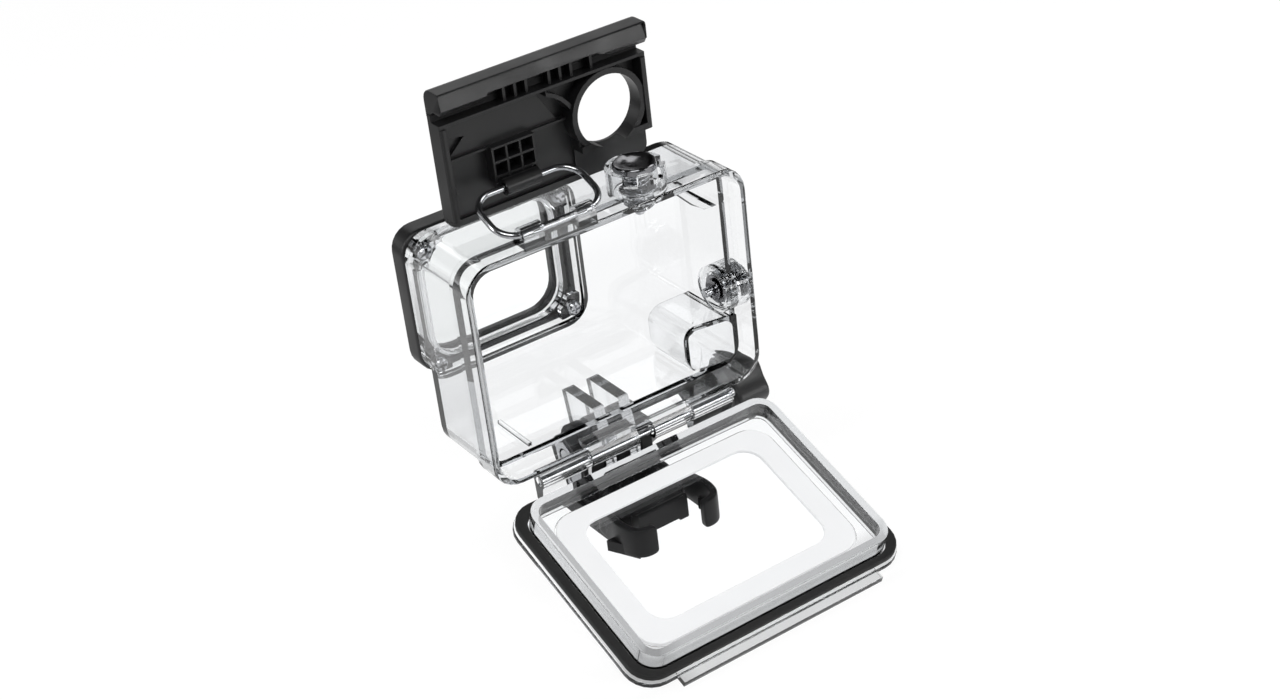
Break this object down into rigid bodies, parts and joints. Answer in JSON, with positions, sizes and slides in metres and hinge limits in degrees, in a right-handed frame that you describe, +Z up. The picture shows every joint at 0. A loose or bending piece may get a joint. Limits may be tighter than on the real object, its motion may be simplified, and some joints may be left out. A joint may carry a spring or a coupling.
{
  "type": "underwater camera housing",
  "caption": "Clear box-shaped dive housing for a small action camera, with a square lens port, a hinged rear door, a lever latch, sealed push buttons and a quick-release buckle.",
  "frame": {"origin": "middle of the flat underside of the quick-release buckle", "axes": "+Z up, +Y forward through the lens port, +X to the right seen from behind"},
  "size_m": [0.0858, 0.0919, 0.1247],
  "materials": {
    "clear_plastic": "polished clear polycarbonate",
    "glass": "polished flat port glass",
    "black_plastic": "satin black",
    "black_rubber": "matte black rubber",
    "white_silicone": "matte white",
    "steel": "polished stainless steel",
    "mirror_steel": "dark mirror-polished steel"
  },
  "bodies": {
    "buckle": {"quick_release_buckle": "black_plastic", "hex_nut": "steel"},
    "thumb_screw": {"thumb_bolt": "steel", "thumb_knob": "black_plastic"},
    "housing": {"front_housing": "clear_plastic", "lens_seal": "white_silicone", "lens_glass": "glass", "lens_bezel": "black_plastic", "bezel_screw_1": "steel", "bezel_screw_2": "steel", "bezel_screw_3": "steel", "bezel_screw_4": "steel", "hinge_pin": "steel", "shutter_o_ring": "black_rubber", "shutter_washer": "steel", "shutter_spring": "steel", "side_o_ring": "black_rubber", "side_outer_washer": "steel", "side_spring": "steel"},
    "door": {"rear_door": "clear_plastic", "door_gasket": "black_rubber", "door_inner_frame": "white_silicone"},
    "bail": {"bail_wire": "steel"},
    "lever": {"latch_lever": "black_plastic"},
    "shutter_button": {"shutter_cap": "mirror_steel", "shutter_shaft": "steel", "shutter_clip": "mirror_steel"},
    "side_button": {"side_button_cap": "mirror_steel", "side_shaft": "steel", "side_inner_washer": "mirror_steel", "side_clip": "mirror_steel"}
  },
  "joints": [
    {"name": "housing_tilt", "type": "hinge", "parent": "buckle", "child": "housing", "pos_m": [0, 0.0086, 0.0153], "axis": [1, 0, 0], "range_deg": [-60, 5]},
    {"name": "thumb_screw_turn", "type": "hinge", "parent": "buckle", "child": "thumb_screw", "pos_m": [0, 0.0086, 0.0153], "axis": [1, 0, 0], "continuous": true},
    {"name": "door_hinge", "type": "hinge", "parent": "housing", "child": "door", "pos_m": [-0.0017, -0.0068, 0.0247], "axis": [1, 0, 0], "range_deg": [-110, 0]},
    {"name": "bail_swing", "type": "hinge", "parent": "housing", "child": "bail", "pos_m": [-0.0142, -0.0066, 0.0887], "axis": [1, 0, 0], "range_deg": [-27.5, 0]},
    {"name": "lever_swing", "type": "hinge", "parent": "bail", "child": "lever", "pos_m": [-0.0142, 0.00703, 0.09421], "axis": [1, 0, 0], "range_deg": [0, 117.6]},
    {"name": "shutter_press", "type": "slide", "parent": "housing", "child": "shutter_button", "axis": [0, 0, -1], "range_m": [0, 0.0015], "stiffness_N_per_m": 250, "springref_m": -0.0012, "deforming": ["shutter_spring"]},
    {"name": "side_press", "type": "slide", "parent": "housing", "child": "side_button", "axis": [-1, 0, 0], "range_m": [0, 0.0012], "stiffness_N_per_m": 250, "springref_m": -0.0012, "deforming": ["side_spring"]}
  ],
  "couplings": [
    {"joint": "lever_swing", "follows": "bail_swing", "ratio": -4.2727}
  ]
}
